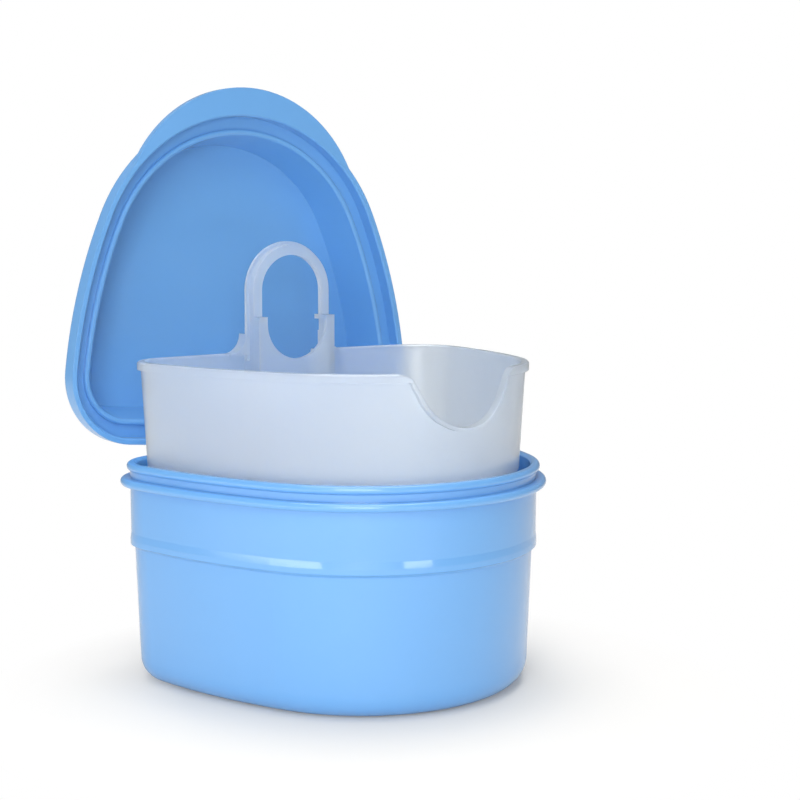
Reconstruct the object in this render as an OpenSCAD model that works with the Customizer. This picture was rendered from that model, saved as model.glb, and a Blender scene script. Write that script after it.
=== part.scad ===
// Denture case: a cup with a rounded triangular plan, a lift-out strainer basket
// with a tall handle, and a hinged lid with a thumb tab. Shown with the lid open
// and the basket lifted. Millimetres. The nose of the plan points to -Y, the
// hinge is at +Y, and the cup stands on Z = 0.

/* [Plan outline, at the edge of the flange] */
// Distance between the centres of the two back corners
corner_gap = 71; // [64:0.5:78]
// Distance from the line of the back corners to the centre of the nose
nose_reach = 23.5; // [19:0.5:28]
// Radius of the back corners
corner_r = 17.3; // [15.5:0.1:20]
// Radius of the nose
nose_r = 45.5; // [40:0.5:50]
// Radius of the two long sides
side_r = 140; // [110:1:180]
// Radius of the bowed back
back_r = 390; // [300:5:500]

/* [Cup] */
// Height of the cup
cup_h = 55; // [48:0.5:70]
// Wall thickness of the cup above its ledge
cup_wall = 1.6; // [1.4:0.1:2.2]
// Thickness of the cup's floor
cup_floor = 2.2; // [1.6:0.1:3.5]
// Radius of the cup's bottom edge
cup_bottom_r = 6; // [4:0.5:8]
// How far the lower wall draws in on its way down
cup_draft = 0.9; // [0.3:0.1:1.6]
// Inset of the neck from the edge of the flange
neck_inset = 2.4; // [2:0.1:3.2]
// Drop of the band's lower edge below the rim
band_drop = 20.7; // [16:0.1:26]
// How far the wall steps in under the band
band_step = 0.9; // [0.5:0.1:1.1]
// Height of the raised bead along the band's lower edge
band_bead_h = 3.4; // [2:0.1:5]
// How far that bead stands out from the wall
band_bead = 0.2; // [0.1:0.05:0.5]
// Drop of the flange's top below the rim
flange_drop = 3.7; // [3.4:0.1:5]
// Thickness of the flange
flange_t = 2; // [1.4:0.1:3]
// Inset of the rim's bead from the edge of the flange
rim_inset = 1.6; // [1.4:0.1:2]
// Height of the rim's bead
rim_bead_h = 2; // [1.4:0.1:2.4]
// Bevel around the inside of the cup's mouth
mouth_bevel = 0.6; // [0.3:0.1:0.9]
// Bevel on the small moulded edges of every piece
bevel = 0.4; // [0.2:0.05:0.45]

/* [Strainer basket] */
// Height of the basket without its handle
basket_h = 28.6; // [22:0.2:29]
// Wall thickness of the basket
basket_wall = 1.2; // [0.9:0.1:1.5]
// How far the basket's wall draws in on its way down
basket_draft = 1.2; // [0.6:0.1:2]
// Radius of the basket's bottom edge
basket_bottom_r = 3; // [2:0.25:5]
// Height of the lip around the basket
lip_h = 2; // [1.4:0.1:3]
// How far the lip stands out from the basket's wall
lip_out = 0.9; // [0.8:0.05:1.4]
// Drop of the ledge that carries the lip below the cup's rim
ledge_drop = 23.4; // [20:0.1:26]
// Diameter of the drain holes
drain_d = 2.6; // [1.5:0.1:3.5]
// Spacing of the drain holes
drain_pitch = 7; // [5:0.5:10]
// Height that the basket is lifted above its ledge
basket_lift = 46; // [42:0.1:50]

/* [Pouring notch] */
// Depth of the notch at the nose of the basket
notch_depth = 12.9; // [8:0.5:15]
// Radius of the notch's bottom
notch_r = 13.2; // [10:0.5:15]
// Radius of the notch's shoulders
shoulder_r = 4; // [3:0.5:7]
// How far the notch's lip stands out from the basket's wall
notch_out = 0.8; // [0.5:0.05:0.9]
// Lean of the notch's flanks from upright, in degrees
flank_lean = 29; // [12:1:35]

/* [Basket handle] */
// Height of the handle above the basket's rim
handle_h = 28.7; // [24:0.1:29]
// Width of the handle
handle_w = 25.4; // [23:0.2:28]
// Width of the finger hole
finger_w = 18.4; // [16:0.2:19]
// Thickness of the handle's plate and sides
handle_t = 1.2; // [0.9:0.1:1.6]
// Depth of the arch, front to back
arch_depth = 2.9; // [2.2:0.1:4]
// Height of the step in the handle above the rim
step_h = 9.5; // [6:0.5:13]
// How much deeper the handle is under its step
step_depth = 2.6; // [1.5:0.1:4]
// Depth of the finger hole's bottom below the rim
finger_drop = 1.5; // [0:0.25:4]
// Width and thickness of the bead along the handle's back edge
handle_bead = 0.9; // [0.5:0.1:1.4]
// Radius of the fillets between the rim and the handle
handle_fillet = 5; // [3:0.5:7]

/* [Lid] */
// Height of the lid from the edge of its skirt to its top
lid_h = 17; // [16:0.1:20]
// Wall thickness of the lid's dome
lid_wall = 1.8; // [1.4:0.1:2.4]
// Height of the skirt
skirt_h = 5.4; // [5.1:0.1:7]
// Radius of the skirt's shoulder
shoulder_edge_r = 1.5; // [0.8:0.1:1.5]
// Thickness of the skirt
skirt_t = 1.6; // [1.2:0.1:2]
// Thickness of the sealing ring
ring_t = 1.4; // [1.2:0.1:2]
// How far the ring's edge stays behind the skirt's edge
ring_back = 2.6; // [1.8:0.1:2.8]
// How far the dome's wall leans in towards the top
dome_lean = 2.4; // [2:0.1:3.3]
// Radius of the dome's top edge
dome_r = 3; // [2:0.1:4]
// How far the thumb tab stands out at the nose
tab_out = 5.9; // [3:0.1:8]
// Radius of the thumb tab's outline
tab_r = 37.7; // [33:0.1:42]
// Thickness of the thumb tab
tab_t = 1.9; // [1.4:0.1:3]
// How far the lid stands open, in degrees
lid_open = 90; // [87:1:100]

/* [Hinge] */
// Distance of the hinge axis behind the flange
hinge_back = 6; // [5.5:0.1:8]
// Drop of the hinge axis below the rim
hinge_drop = 6.5; // [6.4:0.1:8]
// Radius of the lid's hinge barrel
barrel_r = 2.7; // [2.2:0.1:2.8]
// Length of the lid's hinge barrel
barrel_l = 25.4; // [16:0.2:32]
// Width of each ear on the cup
ear_w = 5; // [3:0.2:7]
// Height of the ears' root on the cup's wall
ear_root = 8.5; // [6:0.5:10]
// Depth of the ears below the hinge axis
ear_under = 3.1; // [2.8:0.1:3.6]
// Reach of the heels that stop the open lid, behind the hinge axis
heel_reach = 5.1; // [4.6:0.1:5.4]
// Height of the heels' tips
heel_tip = 1.8; // [1:0.1:2.4]
// Angle on the barrel at which the lid's web meets it
web_angle = 35; // [20:1:45]
// Radius of the hinge pin
pin_r = 1.25; // [0.9:0.05:1.5]
// Radius of the pin's head
pin_head_r = 2; // [1.6:0.1:2.4]
// Thickness of the pin's head
pin_head_t = 0.8; // [0.5:0.1:1.2]

/* [Clearances] */
// Gap between the lid's seat and the flange
seat_gap = 0.2; // [0.1:0.05:0.4]
// Gap between the cup's rim and the bottom of the lid's groove
rim_gap = 0.4; // [0.3:0.05:0.6]
// Gap between the cup's rim and the lid's skirt
groove_gap = 0.3; // [0.2:0.05:0.5]
// Gap between the cup's rim and the sealing ring, which swings in over the rim
ring_gap = 0.6; // [0.55:0.05:0.8]
// Gap between the basket's lip and the cup's wall
lip_gap = 0.6; // [0.4:0.05:0.8]
// Gap between the basket's wall and the edge of the ledge
ledge_gap = 0.3; // [0.2:0.05:0.5]
// Height that the seated lip stays above the ledge
rest_gap = 0.1; // [0.05:0.05:0.3]
// Gap between the handle and the dome's wall
handle_gap = 1.1; // [0.8:0.05:1.4]
// Gap at each end of the lid's hinge barrel
barrel_gap = 0.3; // [0.2:0.05:0.5]
// Gap all round the pin in the lid's barrel
pin_run = 0.08; // [0.03:0.01:0.1]
// Gap all round the pin in the cup's ears
pin_fit = 0.02; // [0.01:0.01:0.03]
// Gap between the open lid and the ears that stop it
stop_gap = 0.35; // [0.3:0.05:0.6]

/* [Hidden] */
$fn = 48;

blue = [0.32, 0.60, 0.92];
frosted = [0.86, 0.92, 0.97];

// ---- Plan outline: six tangent arcs
// How far the bowed back stands behind the line of the corner centres
back_bow = back_r - sqrt(pow(back_r - corner_r, 2) - pow(corner_gap / 2, 2));
plan_d = nose_reach + nose_r + back_bow;
back_y = plan_d / 2;
// Centre of the side arc that is tangent to the right corner and to the nose
to_nose = [-corner_gap / 2, -nose_reach] / norm([corner_gap / 2, nose_reach]);
along = (pow(side_r - corner_r, 2) - pow(side_r - nose_r, 2) + pow(norm([corner_gap / 2, nose_reach]), 2))
    / (2 * norm([corner_gap / 2, nose_reach]));
across = sqrt(pow(side_r - corner_r, 2) - pow(along, 2));
side_dx = corner_gap / 2 + along * to_nose[0] + across * to_nose[1];
side_dy = along * to_nose[1] - across * to_nose[0];
// Angles at which the arcs meet, in whole thousandths of a degree so that they meet exactly
function whole(v) = round(v * 1000) / 1000;
side_from = whole(atan2(-nose_reach - side_dy, -side_dx));
side_to = whole(atan2(-side_dy, corner_gap / 2 - side_dx));
back_from = whole(acos(corner_gap / 2 / (back_r - corner_r)));
// Centres, tangent at those angles, and the side radius that closes the outline
corner_x = (back_r - corner_r) * cos(back_from);
corner_y = back_y - back_r + (back_r - corner_r) * sin(back_from);
side_fit = (corner_x + corner_r * cos(side_to) - nose_r * cos(side_from)) / (cos(side_to) - cos(side_from));
side_c = [corner_x, corner_y] - (side_fit - corner_r) * [cos(side_to), sin(side_to)];
nose_y = side_c[1] + (side_fit - nose_r) * sin(side_from);
// Each arc is [centre, radius, from, to]
arcs = [
    [[0, nose_y], nose_r, -180 - side_from, side_from],
    [side_c, side_fit, side_from, side_to],
    [[corner_x, corner_y], corner_r, side_to, back_from],
    [[0, back_y - back_r], back_r, back_from, 180 - back_from],
    [[-corner_x, corner_y], corner_r, 180 - back_from, 180 - side_to],
    [[-side_c[0], side_c[1]], side_fit, 180 - side_to, 180 - side_from]
];
// Facets of each arc, for a smooth sweep at any radius
arc_steps = 12;
// Points on each arc of the flat plate in the middle
plate_steps = 6;
// How far joined shapes overlap, and how far a cut runs past a surface
lap = 0.5;
past = 1;
// How much the notch's cut is grown, so that its shoulders don't just touch the rim's top
graze = 0.05;

// Points of the outline, drawn in by an inset
function outline(inset) = [
    for (s = arcs) for (i = [0:plate_steps - 1])
        let (a = s[2] + (s[3] - s[2]) * (i + 0.5) / plate_steps)
            s[0] + (s[1] - inset) * [cos(a), sin(a)]
];

// How far the bowed back falls away at a distance from the plane of symmetry
function bow(x) = back_r - sqrt(pow(back_r, 2) - pow(x, 2));

// Moves in a coarse and a fine step, which keeps every digit of a long number
module place(p) {
    translate([whole(p[0]), whole(p[1])])
        translate([p[0] - whole(p[0]), p[1] - whole(p[1])])
            children();
}

// Carries a profile along the outline: x is outward from the flange's edge, y is up
module sweep() {
    for (s = arcs)
        place(s[0])
            rotate_extrude(start = s[2], angle = s[3] - s[2], $fn = ceil(360 * arc_steps / (s[3] - s[2])))
                place([s[1], 0])
                    children();
}

// The flat plate that fills the middle of a swept piece
module plate_middle(z0, z1) {
    translate([0, 0, z0])
        linear_extrude(z1 - z0)
            polygon(outline(join - 2 * past));
}

// Turns a profile drawn in y and z into a slab that starts at x
module slab(x, w) {
    translate([x, 0, 0])
        rotate([90, 0, 90])
            linear_extrude(w)
                children();
}

// Turns a front view into a block from y0 back to y1
module front_block(y0, y1) {
    translate([0, y1, 0])
        rotate([90, 0, 0])
            linear_extrude(y1 - y0)
                children();
}

// A quarter disc that rounds a bottom edge whose wall stands at x
module bottom_round(x, z, r) {
    translate([x - r, z + r])
        intersection() {
            circle(r);
            translate([0, -r])
                square(r);
        }
}

// ---- Heights and insets that pieces share
flange_top = cup_h - flange_drop;
flange_z = flange_top - flange_t / 2;
band_z = cup_h - band_drop;
ledge_z = cup_h - ledge_drop;
cup_in = neck_inset + cup_wall;
lip_in = cup_in + lip_gap;
basket_in = lip_in + lip_out;
ledge_in = basket_in - ledge_gap;
lower_in = neck_inset + band_step;
lower_wall = ledge_in - lower_in;
skirt_z = flange_top + seat_gap;
skirt_in = rim_inset - groove_gap;
ring_out = cup_in + ring_gap;
ring_in = ring_out + ring_t;
basket_top = ledge_z + rest_gap + lip_h;
basket_bottom = basket_top - basket_h;
hinge = [0, back_y + hinge_back, cup_h - hinge_drop];
ear_x = barrel_l / 2 + barrel_gap;
// Height of the centre of the notch's bottom, and half the notch's width between its shoulders
notch_c = basket_top - notch_depth + notch_r;
shoulder_x = notch_r * cos(flank_lean)
    + (shoulder_r + (basket_top - shoulder_r - notch_c + notch_r * sin(flank_lean)) * sin(flank_lean))
    / cos(flank_lean);
// Inset down to which every profile is swept, past the bottom edges of the cup and basket
// and the dome's top edge; a flat plate fills the middle
join = max(lower_in + cup_draft + cup_bottom_r, basket_in + basket_draft + basket_bottom_r,
    ring_in + dome_lean - lid_wall + dome_r) + 2 * past + lap;
// Distance of the shut lid's skirt from the hinge axis, at the ears
skirt_over = hinge_back - skirt_t + skirt_in + bow(ear_x);

// ---- Cup
module cup_profile() {
    inner_r = cup_bottom_r - lower_wall;
    difference() {
        union() {
            bottom_round(-lower_in - cup_draft, 0, cup_bottom_r);
            polygon([
                [-join, 0],
                [-lower_in - cup_draft - cup_bottom_r, 0],
                [-lower_in - cup_draft - cup_bottom_r, cup_bottom_r],
                [-lower_in - cup_draft, cup_bottom_r],
                [-lower_in, band_z - bevel],
                [-lower_in + bevel, band_z],
                [-neck_inset + band_bead, band_z + bevel],
                [-neck_inset + band_bead, band_z + band_bead_h / 2],
                [-neck_inset, band_z + band_bead_h],
                [-neck_inset, cup_h - rim_bead_h / 2],
                [-join, cup_h - rim_bead_h / 2]
            ]);
            translate([-flange_t / 2, flange_z])
                circle(flange_t / 2);
            translate([-neck_inset - lap, flange_z - flange_t / 2])
                square([neck_inset + lap - flange_t / 2, flange_t]);
            translate([-rim_inset - rim_bead_h / 2, cup_h - rim_bead_h / 2])
                circle(rim_bead_h / 2);
            translate([-cup_in - past, cup_h - rim_bead_h])
                square([cup_in + past - rim_inset - rim_bead_h / 2, rim_bead_h]);
        }
        polygon([
            [-join - past, cup_floor],
            [-lower_in - cup_draft - lower_wall - inner_r, cup_floor],
            [-lower_in - cup_draft - lower_wall - inner_r, cup_floor + inner_r],
            [-lower_in - cup_draft - lower_wall, cup_floor + inner_r],
            [-ledge_in, ledge_z],
            [-cup_in, ledge_z],
            [-cup_in, cup_h - mouth_bevel],
            [-cup_in + mouth_bevel, cup_h],
            [-cup_in + mouth_bevel, cup_h + past],
            [-join - past, cup_h + past]
        ]);
        bottom_round(-lower_in - cup_draft - lower_wall, cup_floor, inner_r);
    }
}

// Height above the hinge axis at which a heel meets the open lid's skirt, y behind it
function heel_z(y) = (skirt_over - stop_gap + y * cos(lid_open)) / sin(lid_open);

// Side shape of an ear: it carries the pin and its heel stops the open lid
module ear_profile() {
    wall_y = back_y - neck_inset - cup_wall / 2;
    difference() {
        translate([hinge[1], hinge[2]])
            polygon([
                [wall_y - hinge[1], flange_top - ear_root - hinge[2]],
                [0, -ear_under],
                [ear_under, -ear_under / 2],
                [heel_reach, heel_z(heel_reach) - heel_tip],
                [heel_reach, heel_z(heel_reach)],
                [ear_under, heel_z(ear_under)],
                [0, flange_top - hinge[2]],
                [wall_y - hinge[1], flange_top - hinge[2]]
            ]);
        translate([hinge[1], hinge[2]])
            circle(pin_r + pin_fit);
    }
}

// The pocket in the ledge that lets the lip of the basket's notch pass
module notch_pocket() {
    pocket_z = basket_top - notch_depth - 2 * lip_out;
    half = whole(asin((shoulder_x + lip_out + lip_gap) / (nose_r - ledge_in)));
    place([0, nose_y])
        rotate_extrude(start = -90 - half, angle = 2 * half, $fn = ceil(180 * arc_steps / half))
            translate([nose_r - ledge_in - past, pocket_z])
                square([past + notch_out, ledge_z + past - pocket_z]);
}

module base_cup() {
    color(blue)
        difference() {
            union() {
                sweep()
                    cup_profile();
                plate_middle(0, cup_floor);
                slab(ear_x, ear_w)
                    ear_profile();
                slab(-ear_x - ear_w, ear_w)
                    ear_profile();
            }
            notch_pocket();
        }
}

module hinge_pin() {
    ends = ear_x + ear_w;
    color(blue)
        translate([-ends, hinge[1], hinge[2]])
            rotate([0, 90, 0]) {
                cylinder(r = pin_r, h = 2 * ends);
                translate([0, 0, -pin_head_t])
                    cylinder(r = pin_head_r, h = pin_head_t);
            }
}

// ---- Strainer basket, drawn seated and then lifted
module basket_profile() {
    inner_r = basket_bottom_r - basket_wall;
    difference() {
        union() {
            bottom_round(-basket_in - basket_draft, basket_bottom, basket_bottom_r);
            polygon([
                [-join, basket_bottom],
                [-basket_in - basket_draft - basket_bottom_r, basket_bottom],
                [-basket_in - basket_draft - basket_bottom_r, basket_bottom + basket_bottom_r],
                [-basket_in - basket_draft, basket_bottom + basket_bottom_r],
                [-basket_in, basket_top - lip_h],
                [-lip_in, basket_top - lip_h],
                [-lip_in, basket_top - bevel],
                [-lip_in - bevel, basket_top],
                [-join, basket_top]
            ]);
        }
        polygon([
            [-join - past, basket_bottom + basket_wall],
            [-basket_in - basket_draft - basket_bottom_r, basket_bottom + basket_wall],
            [-basket_in - basket_draft - basket_bottom_r, basket_bottom + basket_bottom_r],
            [-basket_in - basket_draft - basket_wall, basket_bottom + basket_bottom_r],
            [-basket_in - basket_wall, basket_top - lip_h],
            [-basket_in - basket_wall, basket_top - bevel],
            [-basket_in - basket_wall + bevel, basket_top],
            [-basket_in - basket_wall + bevel, basket_top + past],
            [-join - past, basket_top + past]
        ]);
        bottom_round(-basket_in - basket_draft - basket_wall, basket_bottom + basket_wall, inner_r);
    }
}

// The notch in front view, with its bottom grown by g and its shoulders shrunk by g
module notch_outline(g) {
    r = notch_r + g;
    s = shoulder_r - g;
    foot = [r * cos(flank_lean), notch_c - r * sin(flank_lean)];
    turn = [shoulder_x - s * cos(flank_lean), basket_top - shoulder_r + s * sin(flank_lean)];
    difference() {
        union() {
            translate([0, notch_c])
                circle(r);
            polygon([
                [-foot[0], foot[1]], foot, turn, [shoulder_x, basket_top - g],
                [shoulder_x, basket_top + 2 * past], [-shoulder_x, basket_top + 2 * past],
                [-shoulder_x, basket_top - g], [-turn[0], turn[1]]
            ]);
        }
        for (side = [-1, 1])
            translate([side * shoulder_x, basket_top - shoulder_r])
                circle(s);
    }
}

// The notch as a block through the nose of the basket
module notch_block(g) {
    front = nose_y - nose_r - past;
    front_block(front, front + nose_r / 2)
        notch_outline(g);
}

// The lip where it follows the edge of the notch
module notch_lip() {
    intersection() {
        notch_block(lip_out);
        sweep()
            translate([-basket_in - basket_wall / 2, basket_top - notch_depth - 2 * lip_out])
                square([notch_out + basket_wall / 2, notch_depth + 2 * lip_out]);
    }
}

// Handle heights and depths. Its back edge clears the dome's wall with the lid shut
handle_top = basket_top + handle_h;
dome_slope = dome_lean / (lid_h - lid_wall - ring_back);
handle_back_in = ring_in + dome_slope * (handle_top - skirt_z - ring_back) + handle_gap;
handle_back = back_y - handle_back_in;
arch_front = handle_back - arch_depth;
channel_front = arch_front - step_depth;
finger_r = finger_w / 2;
arch_z = handle_top - handle_w / 2;
arch_w = handle_w - 2 * handle_bead;
finger_bottom = basket_top - finger_drop + finger_r;

// Front view of the arch, drawn in by an inset
module arch_outline(inset, z0) {
    translate([0, arch_z])
        circle(arch_w / 2 - inset);
    translate([-arch_w / 2 + inset, z0])
        square([arch_w - 2 * inset, arch_z - z0]);
}

module finger_outline() {
    for (z = [arch_z, finger_bottom])
        translate([0, z])
            circle(finger_r);
    translate([-finger_r, finger_bottom])
        square([finger_w, arch_z - finger_bottom]);
}

// The recess in the basket's back that the handle grows from
module channel_void(z1) {
    translate([-arch_w / 2 + handle_t, channel_front + handle_t, basket_bottom - past])
        cube([arch_w - 2 * handle_t, back_y - channel_front, z1 - basket_bottom + past]);
}

module handle() {
    step_z = basket_top + step_h;
    side_back = back_y - basket_in - basket_draft + basket_wall / 4 - bow(arch_w / 2);
    difference() {
        union() {
            // arch
            front_block(arch_front, handle_back)
                arch_outline(0, basket_top - lip_h);
            front_block(handle_back - handle_bead, handle_back)
                arch_outline(-handle_bead, basket_top - lip_h);
            // channel below the step, down to the floor and back to the wall
            translate([-arch_w / 2, channel_front, basket_bottom + basket_bottom_r])
                cube([arch_w, side_back - channel_front,
                      basket_top - basket_bottom - basket_bottom_r]);
            translate([-arch_w / 2, channel_front, basket_bottom])
                cube([arch_w, side_back - basket_bottom_r - channel_front, basket_bottom_r]);
            translate([-arch_w / 2, channel_front, basket_top - lap])
                cube([arch_w, handle_back - channel_front, step_h + lap]);
            // fillets from the rim up to the handle
            for (side = [-1, 1])
                handle_foot(side);
        }
        front_block(channel_front - past, back_y)
            finger_outline();
        // hollow behind the plate
        front_block(arch_front + handle_t, back_y)
            arch_outline(handle_t, step_z);
        channel_void(step_z - handle_t);
    }
}

// One concave fillet between the rim and a side of the handle
module handle_foot(side) {
    x0 = side * handle_w / 2;
    y0 = handle_back - handle_bead;
    y1 = back_y - basket_in - bow(handle_w / 2 + handle_fillet);
    difference() {
        translate([min(x0 - side * lap, x0 + side * handle_fillet), y0, basket_top - lap])
            cube([handle_fillet + lap, y1 - y0, handle_fillet + lap]);
        translate([x0 + side * handle_fillet, y0 - past, basket_top + handle_fillet])
            rotate([-90, 0, 0])
                cylinder(r = handle_fillet, h = y1 - y0 + 2 * past);
    }
}

module drain_holes() {
    drain_in = basket_in + basket_draft + basket_bottom_r + 1.5 * drain_d;
    reach = ceil((corner_x + corner_r) / drain_pitch);
    for (i = [-reach:reach], j = [-reach:reach]) {
        p = [i * drain_pitch, j * drain_pitch];
        if (p[1] < channel_front - drain_pitch && inside(p, drain_in))
            translate([p[0], p[1], basket_bottom - past])
                cylinder(d = drain_d, h = basket_wall + 2 * past, $fn = 24);
    }
}

// Whether a point lies inside the outline, drawn in by an inset
function inside(p, inset) =
    norm([abs(p[0]), p[1]] - side_c) < side_fit - inset
    && norm(p - [0, back_y - back_r]) < back_r - inset
    && (abs(p[0]) < corner_x || p[1] < corner_y
        || norm([abs(p[0]), p[1]] - [corner_x, corner_y]) < corner_r - inset)
    && (p[1] > nose_y || norm(p - [0, nose_y]) < nose_r - inset);

module strainer_basket() {
    color(frosted)
        translate([0, 0, basket_lift])
            difference() {
                union() {
                    difference() {
                        union() {
                            sweep()
                                basket_profile();
                            plate_middle(basket_bottom, basket_bottom + basket_wall);
                            notch_lip();
                        }
                        channel_void(basket_top + past);
                    }
                    handle();
                }
                notch_block(graze);
                drain_holes();
            }
}

// ---- Lid, drawn shut and then swung open
module lid_profile() {
    groove_z = flange_drop - seat_gap + rim_gap;
    skirt_out = skirt_t - skirt_in;
    wall_foot = ring_in - lid_wall + dome_slope * (skirt_h - ring_back);
    top_in = ring_in + dome_lean - lid_wall;
    difference() {
        union() {
            // skirt and shoulder
            polygon([
                [-join, 0],
                [skirt_out, 0],
                [skirt_out, skirt_h - shoulder_edge_r],
                [skirt_out - shoulder_edge_r, skirt_h - shoulder_edge_r],
                [skirt_out - shoulder_edge_r, skirt_h],
                [-wall_foot, skirt_h],
                [-top_in, lid_h - dome_r],
                [-top_in - dome_r, lid_h - dome_r],
                [-top_in - dome_r, lid_h],
                [-join, lid_h]
            ]);
            translate([skirt_out - shoulder_edge_r, skirt_h - shoulder_edge_r])
                circle(shoulder_edge_r);
            translate([-top_in - dome_r, lid_h - dome_r])
                circle(dome_r);
        }
        // groove for the cup's rim
        polygon([
            [-skirt_in + bevel, -past],
            [-skirt_in + bevel, 0],
            [-skirt_in, bevel],
            [-skirt_in, groove_z],
            [-ring_out, groove_z],
            [-ring_out, ring_back + bevel],
            [-ring_out - bevel, ring_back],
            [-ring_out - bevel, -past]
        ]);
        // inside of the dome
        polygon([
            [-join - past, -past],
            [-ring_out - bevel / 2, -past],
            [-ring_out - bevel / 2, ring_back],
            [-ring_in + bevel, ring_back],
            [-ring_in - dome_slope * bevel, ring_back + bevel],
            [-ring_in - dome_lean, lid_h - lid_wall],
            [-join - past, lid_h - lid_wall]
        ]);
    }
}

// A disc at the nose, of which only the part outside the skirt's inner face is kept
module thumb_tab() {
    tab_y = nose_y - nose_r - skirt_t + skirt_in - tab_out + tab_r;
    intersection() {
        translate([0, tab_y, skirt_z])
            cylinder(r = tab_r, h = tab_t, $fn = 144);
        sweep()
            translate([-skirt_in / 2, skirt_z])
                square([skirt_t + tab_out, tab_t]);
    }
}

// Side shape of the web between the skirt and the hinge barrel
module knuckle_profile() {
    web = (barrel_r - bevel) * [cos(web_angle), sin(web_angle)];
    translate([hinge[1], hinge[2]])
        circle(barrel_r);
    polygon([
        [back_y - skirt_in / 2, skirt_z + bevel],
        [back_y - skirt_in / 2, skirt_z + skirt_h - shoulder_edge_r],
        [back_y + skirt_t, skirt_z + skirt_h - shoulder_edge_r],
        [hinge[1] + web[0], hinge[2] + web[1]],
        [hinge[1], hinge[2]],
        [hinge[1] - web[0], hinge[2] + web[1]]
    ]);
}

module lid_shut() {
    difference() {
        union() {
            translate([0, 0, skirt_z])
                sweep()
                    lid_profile();
            plate_middle(skirt_z + lid_h - lid_wall, skirt_z + lid_h);
            thumb_tab();
            slab(-barrel_l / 2, barrel_l)
                knuckle_profile();
        }
        translate([-barrel_l / 2 - past, hinge[1], hinge[2]])
            rotate([0, 90, 0])
                cylinder(r = pin_r + pin_run, h = barrel_l + 2 * past);
    }
}

module lid() {
    color(blue)
        translate(hinge)
            rotate([-lid_open, 0, 0])
                translate(-hinge)
                    lid_shut();
}

base_cup();
hinge_pin();
strainer_basket();
lid();
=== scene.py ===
"""Looks of the denture case: materials, floor, light and camera round the fixed CAD frame."""
import math

import bpy
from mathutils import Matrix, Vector

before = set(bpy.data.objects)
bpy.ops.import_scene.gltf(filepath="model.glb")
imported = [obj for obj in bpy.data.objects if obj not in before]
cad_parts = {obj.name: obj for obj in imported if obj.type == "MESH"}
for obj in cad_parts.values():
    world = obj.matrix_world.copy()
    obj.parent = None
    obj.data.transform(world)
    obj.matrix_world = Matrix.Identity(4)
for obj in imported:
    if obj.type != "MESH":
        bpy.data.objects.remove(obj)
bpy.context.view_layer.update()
scene = bpy.context.scene

# ---------------------------------------------------------------- the photograph's view
PHOTO = 800                              # px, the photograph is square
TARGET = Vector((0.0, -0.0015, 0.055))   # m, the point of the object that the view is fitted on
TARGET_PX = (369.8, 460.2)               # px, where that point is in the photograph
YAW = 0.643                              # rad, how far the nose is turned to the viewer's right
PITCH = 0.144                            # rad, how far the camera is above the horizon
DISTANCE = 0.4029                        # m, from the camera to that point
FOCAL_PX = 1629                          # px, focal length at the photograph's size
SENSOR = 36.0                            # mm, width of the camera's sensor
NEAREST, FARTHEST = 0.01, 50             # m, what the camera sees

# ---------------------------------------------------------------- finishes
EDGE_R = 0.00025                         # m, radius of the small moulded edges
EDGE_SAMPLES = 4
RIPPLE = 0.00003                         # m, height of the slow waves in a moulded wall
GRAIN = 0.000002                         # m, height of the fine mould texture
ROUGH_SPAN = (0.3, 0.7)                  # the part of the noise that the roughness follows

# Injection moulded polypropylene: glossy and a little milky, with faint flow clouds
BLUE_PLASTIC = {
    "colours": ((0.143, 0.402, 0.807), (0.150, 0.410, 0.815)),
    "clouds": {"scale": 28, "detail": 3.0, "rough": 0.55, "stretch": (1, 1, 0.5)},
    "cloud_span": (0.35, 0.65),
    "handling": {"scale": 160, "detail": 4.0, "rough": 0.6},
    "roughness": (0.36, 0.42),
    "ripple": {"scale": 30, "detail": 1.0},
    "grain": {"scale": 1500, "detail": 2.0},
    "grain_strength": 0.25,
    "shader": {"IOR": 1.58, "Coat Weight": 0.7, "Coat Roughness": 0.09, "Coat IOR": 1.5},
}
# The pin turns in its barrel, which leaves it a little duller
PIN_PLASTIC = {**BLUE_PLASTIC, "roughness": (0.38, 0.46)}
# Natural polypropylene: milky, see-through where it is thin, with a satin mould texture
FROSTED_PLASTIC = {
    "colours": ((0.845, 0.920, 1.000), (0.880, 0.940, 1.000)),
    "clouds": {"scale": 35, "detail": 3.0, "rough": 0.5, "stretch": (1, 1, 0.6)},
    "cloud_span": (0.3, 0.7),
    "handling": {"scale": 240, "detail": 3.0, "rough": 0.6},
    "roughness": (0.34, 0.46),
    "ripple": {"scale": 35, "detail": 1.0},
    "grain": {"scale": 1800, "detail": 2.0},
    "grain_strength": 0.3,
    "shader": {"IOR": 1.40, "Coat Weight": 0.5, "Coat Roughness": 0.16, "Transmission Weight": 0.76},
}
RIPPLE_STRENGTH = 0.2

# ---------------------------------------------------------------- floor and room
FLOOR_HALF = 6.0                         # m, half the floor's side
FLOOR_DROP = 0.00015                     # m, how far the floor lies under the object's foot
FLOOR_COLOUR = (0.90, 0.87, 0.82, 1)
SHADOW_AT = (-0.008, -0.012, 0)          # m, centre of the contact shadow
SHADOW_FADE = (0.045, 0.095)             # m from there, where the shadow starts and ends to fade
SHADOW_WHITE = (0.15, 1.0)               # how much plain white is mixed in before and after that
WHITE = (1, 1, 1, 1)
WHITE_STRENGTH = 1.0                     # at which the background shows as white
ROOM_STRENGTH = 0.26                     # of the light that the room gives from all sides


def node(tree, kind, values=()):
    """A new shader node, with values for some of its inputs."""
    made = tree.nodes.new("ShaderNode" + kind)
    for socket, value in dict(values).items():
        made.inputs[socket].default_value = value
    return made


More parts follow.
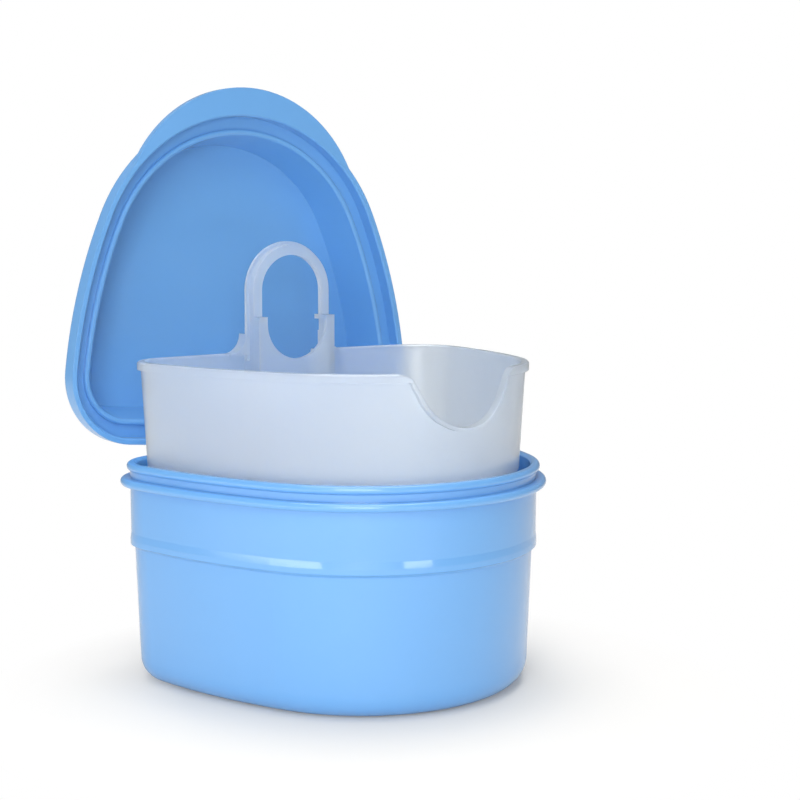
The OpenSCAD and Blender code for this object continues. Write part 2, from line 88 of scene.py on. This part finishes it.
def noise(tree, scale, detail, rough=0.5, stretch=(1, 1, 1)):
    """A noise texture in object coordinates, which are metres in the row frame."""
    at = node(tree, "TexCoord")
    move = node(tree, "Mapping", {"Scale": stretch})
    made = node(tree, "TexNoise", {"Scale": scale, "Detail": detail, "Roughness": rough})
    tree.links.new(at.outputs["Object"], move.inputs["Vector"])
    tree.links.new(move.outputs["Vector"], made.inputs["Vector"])
    return made.outputs["Fac"]


def span(tree, value, given, wanted):
    """The value, with its given range stretched to the wanted one and held at both ends."""
    made = node(tree, "MapRange", {"From Min": given[0], "From Max": given[1],
                                   "To Min": wanted[0], "To Max": wanted[1]})
    tree.links.new(value, made.inputs["Value"])
    return made.outputs["Result"]


def two_colours(tree, value, first, second):
    mix = node(tree, "Mix")
    mix.data_type = "RGBA"
    mix.inputs["A"].default_value = (*first, 1)
    mix.inputs["B"].default_value = (*second, 1)
    tree.links.new(value, mix.inputs["Factor"])
    return mix.outputs["Result"]


def two_shaders(tree, factor, under, over):
    mix = node(tree, "MixShader")
    tree.links.new(factor, mix.inputs["Fac"])
    tree.links.new(under.outputs[0], mix.inputs[1])
    tree.links.new(over.outputs[0], mix.inputs[2])
    return mix


def maths(tree, operation, first, second):
    made = node(tree, "Math")
    made.operation = operation
    tree.links.new(first, made.inputs[0])
    tree.links.new(second, made.inputs[1])
    return made.outputs[0]


def surface(made, output):
    """An empty node tree for a material or a world, and what its surface comes from."""
    made.use_nodes = True
    made.node_tree.nodes.clear()
    return made.node_tree, node(made.node_tree, output).inputs["Surface"]


def bump(tree, bsdf, layers):
    """Moulded edges rounded in the shading, then bump in layers of (value, height, strength)."""
    edge = node(tree, "Bevel", {"Radius": EDGE_R})
    edge.samples = EDGE_SAMPLES
    tree.links.new(edge.outputs["Normal"], bsdf.inputs["Coat Normal"])
    last = edge.outputs["Normal"]
    for value, height, strength in layers:
        made = node(tree, "Bump", {"Distance": height, "Strength": strength})
        tree.links.new(value, made.inputs["Height"])
        tree.links.new(last, made.inputs["Normal"])
        last = made.outputs["Normal"]
    tree.links.new(last, bsdf.inputs["Normal"])


def plastic(name, finish):
    """Moulded plastic with clouds in its colour, roughness from handling, and its mould's texture."""
    mat = bpy.data.materials.new(name)
    tree, socket = surface(mat, "OutputMaterial")
    bsdf = node(tree, "BsdfPrincipled", finish["shader"])
    tree.links.new(bsdf.outputs["BSDF"], socket)
    clouds = span(tree, noise(tree, **finish["clouds"]), finish["cloud_span"], (0, 1))
    tree.links.new(two_colours(tree, clouds, *finish["colours"]), bsdf.inputs["Base Color"])
    handling = span(tree, noise(tree, **finish["handling"]), ROUGH_SPAN, finish["roughness"])
    tree.links.new(handling, bsdf.inputs["Roughness"])
    bump(tree, bsdf, [(noise(tree, **finish["ripple"]), RIPPLE, RIPPLE_STRENGTH),
                      (noise(tree, **finish["grain"]), GRAIN, finish["grain_strength"])])
    return mat


for cad_node, mat_name, finish in (("base_cup", "cup_plastic", BLUE_PLASTIC),
                                   ("lid", "lid_plastic", BLUE_PLASTIC),
                                   ("hinge_pin", "pin_plastic", PIN_PLASTIC),
                                   ("strainer_basket", "basket_plastic", FROSTED_PLASTIC)):
    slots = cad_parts[cad_node].data.materials
    slots.clear()
    slots.append(plastic(mat_name, finish))

# ---------------------------------------------------------------- floor, white but for the object's shadow
mesh = bpy.data.meshes.new("floor")
corners = [(x * FLOOR_HALF, y * FLOOR_HALF, 0) for x, y in ((-1, -1), (1, -1), (1, 1), (-1, 1))]
mesh.from_pydata(corners, [], [(0, 1, 2, 3)])
floor = bpy.data.objects.new("floor", mesh)
floor.location.z = -FLOOR_DROP
scene.collection.objects.link(floor)
mat = bpy.data.materials.new("floor_white")
tree, socket = surface(mat, "OutputMaterial")
plain = node(tree, "BsdfDiffuse", {"Color": FLOOR_COLOUR})
white = node(tree, "Emission", {"Color": WHITE, "Strength": WHITE_STRENGTH})
ray = node(tree, "LightPath")
at = node(tree, "TexCoord")
away = node(tree, "VectorMath")
away.operation = "DISTANCE"
away.inputs[1].default_value = SHADOW_AT
tree.links.new(at.outputs["Object"], away.inputs[0])
share = maths(tree, "MULTIPLY", ray.outputs["Is Camera Ray"],
              span(tree, away.outputs["Value"], SHADOW_FADE, SHADOW_WHITE))
tree.links.new(two_shaders(tree, share, plain, white).outputs[0], socket)
mesh.materials.append(mat)

# ---------------------------------------------------------------- world, white also through the basket
scene.world = bpy.data.worlds.new("studio")
tree, socket = surface(scene.world, "OutputWorld")
room = node(tree, "Background", {"Color": WHITE, "Strength": ROOM_STRENGTH})
white = node(tree, "Background", {"Color": WHITE, "Strength": WHITE_STRENGTH})
ray = node(tree, "LightPath")
either = maths(tree, "MAXIMUM", ray.outputs["Is Camera Ray"], ray.outputs["Is Transmission Ray"])
tree.links.new(two_shaders(tree, either, room, white).outputs[0], socket)

# ---------------------------------------------------------------- camera
forward = Vector((math.sin(YAW) * math.cos(PITCH), math.cos(YAW) * math.cos(PITCH), -math.sin(PITCH)))
right = Vector((math.cos(YAW), -math.sin(YAW), 0))
cam = bpy.data.cameras.new("camera")
cam.sensor_width = SENSOR
cam.lens = FOCAL_PX / PHOTO * SENSOR
cam.shift_x = (PHOTO / 2 - TARGET_PX[0]) / PHOTO
cam.shift_y = (TARGET_PX[1] - PHOTO / 2) / PHOTO
cam.clip_start = NEAREST
cam.clip_end = FARTHEST
camera = bpy.data.objects.new("camera", cam)
scene.collection.objects.link(camera)
camera.location = TARGET - forward * DISTANCE
camera.rotation_mode = "QUATERNION"
camera.rotation_quaternion = forward.to_track_quat("-Z", "Y")
scene.camera = camera


# ---------------------------------------------------------------- lamps
def soft_box(name, along_right, along_up, towards, size, power):
    """A lamp of that width and height in metres, aimed at TARGET and out of the camera's sight.

    Its place is in metres from TARGET: to the viewer's right, up, and towards the camera.
    """
    lamp = bpy.data.lights.new(name, "AREA")
    lamp.shape = "RECTANGLE"
    lamp.size, lamp.size_y = size
    lamp.energy = power
    ob = bpy.data.objects.new(name, lamp)
    ob.visible_camera = False
    scene.collection.objects.link(ob)
    ob.location = TARGET + right * along_right + Vector((0, 0, along_up)) - forward * towards
    ob.rotation_mode = "QUATERNION"
    ob.rotation_quaternion = (TARGET - ob.location).to_track_quat("-Z", "Y")


soft_box("front", -0.03, 0.04, 0.62, (0.30, 0.18), 1.38)
# Two thin strips close by, which the bead of the cup reflects as short streaks
soft_box("strip_left", -0.219, -0.0415, 0.19, (0.270, 0.012), 0.10)
soft_box("strip_right", 0.155, -0.0455, 0.24, (0.088, 0.012), 0.033)
soft_box("key", -0.05, 0.42, 0.60, (0.34, 0.34), 1.6)
soft_box("top", 0.0, 0.90, -0.10, (0.70, 0.70), 6.5)

scene.view_settings.view_transform = "Standard"
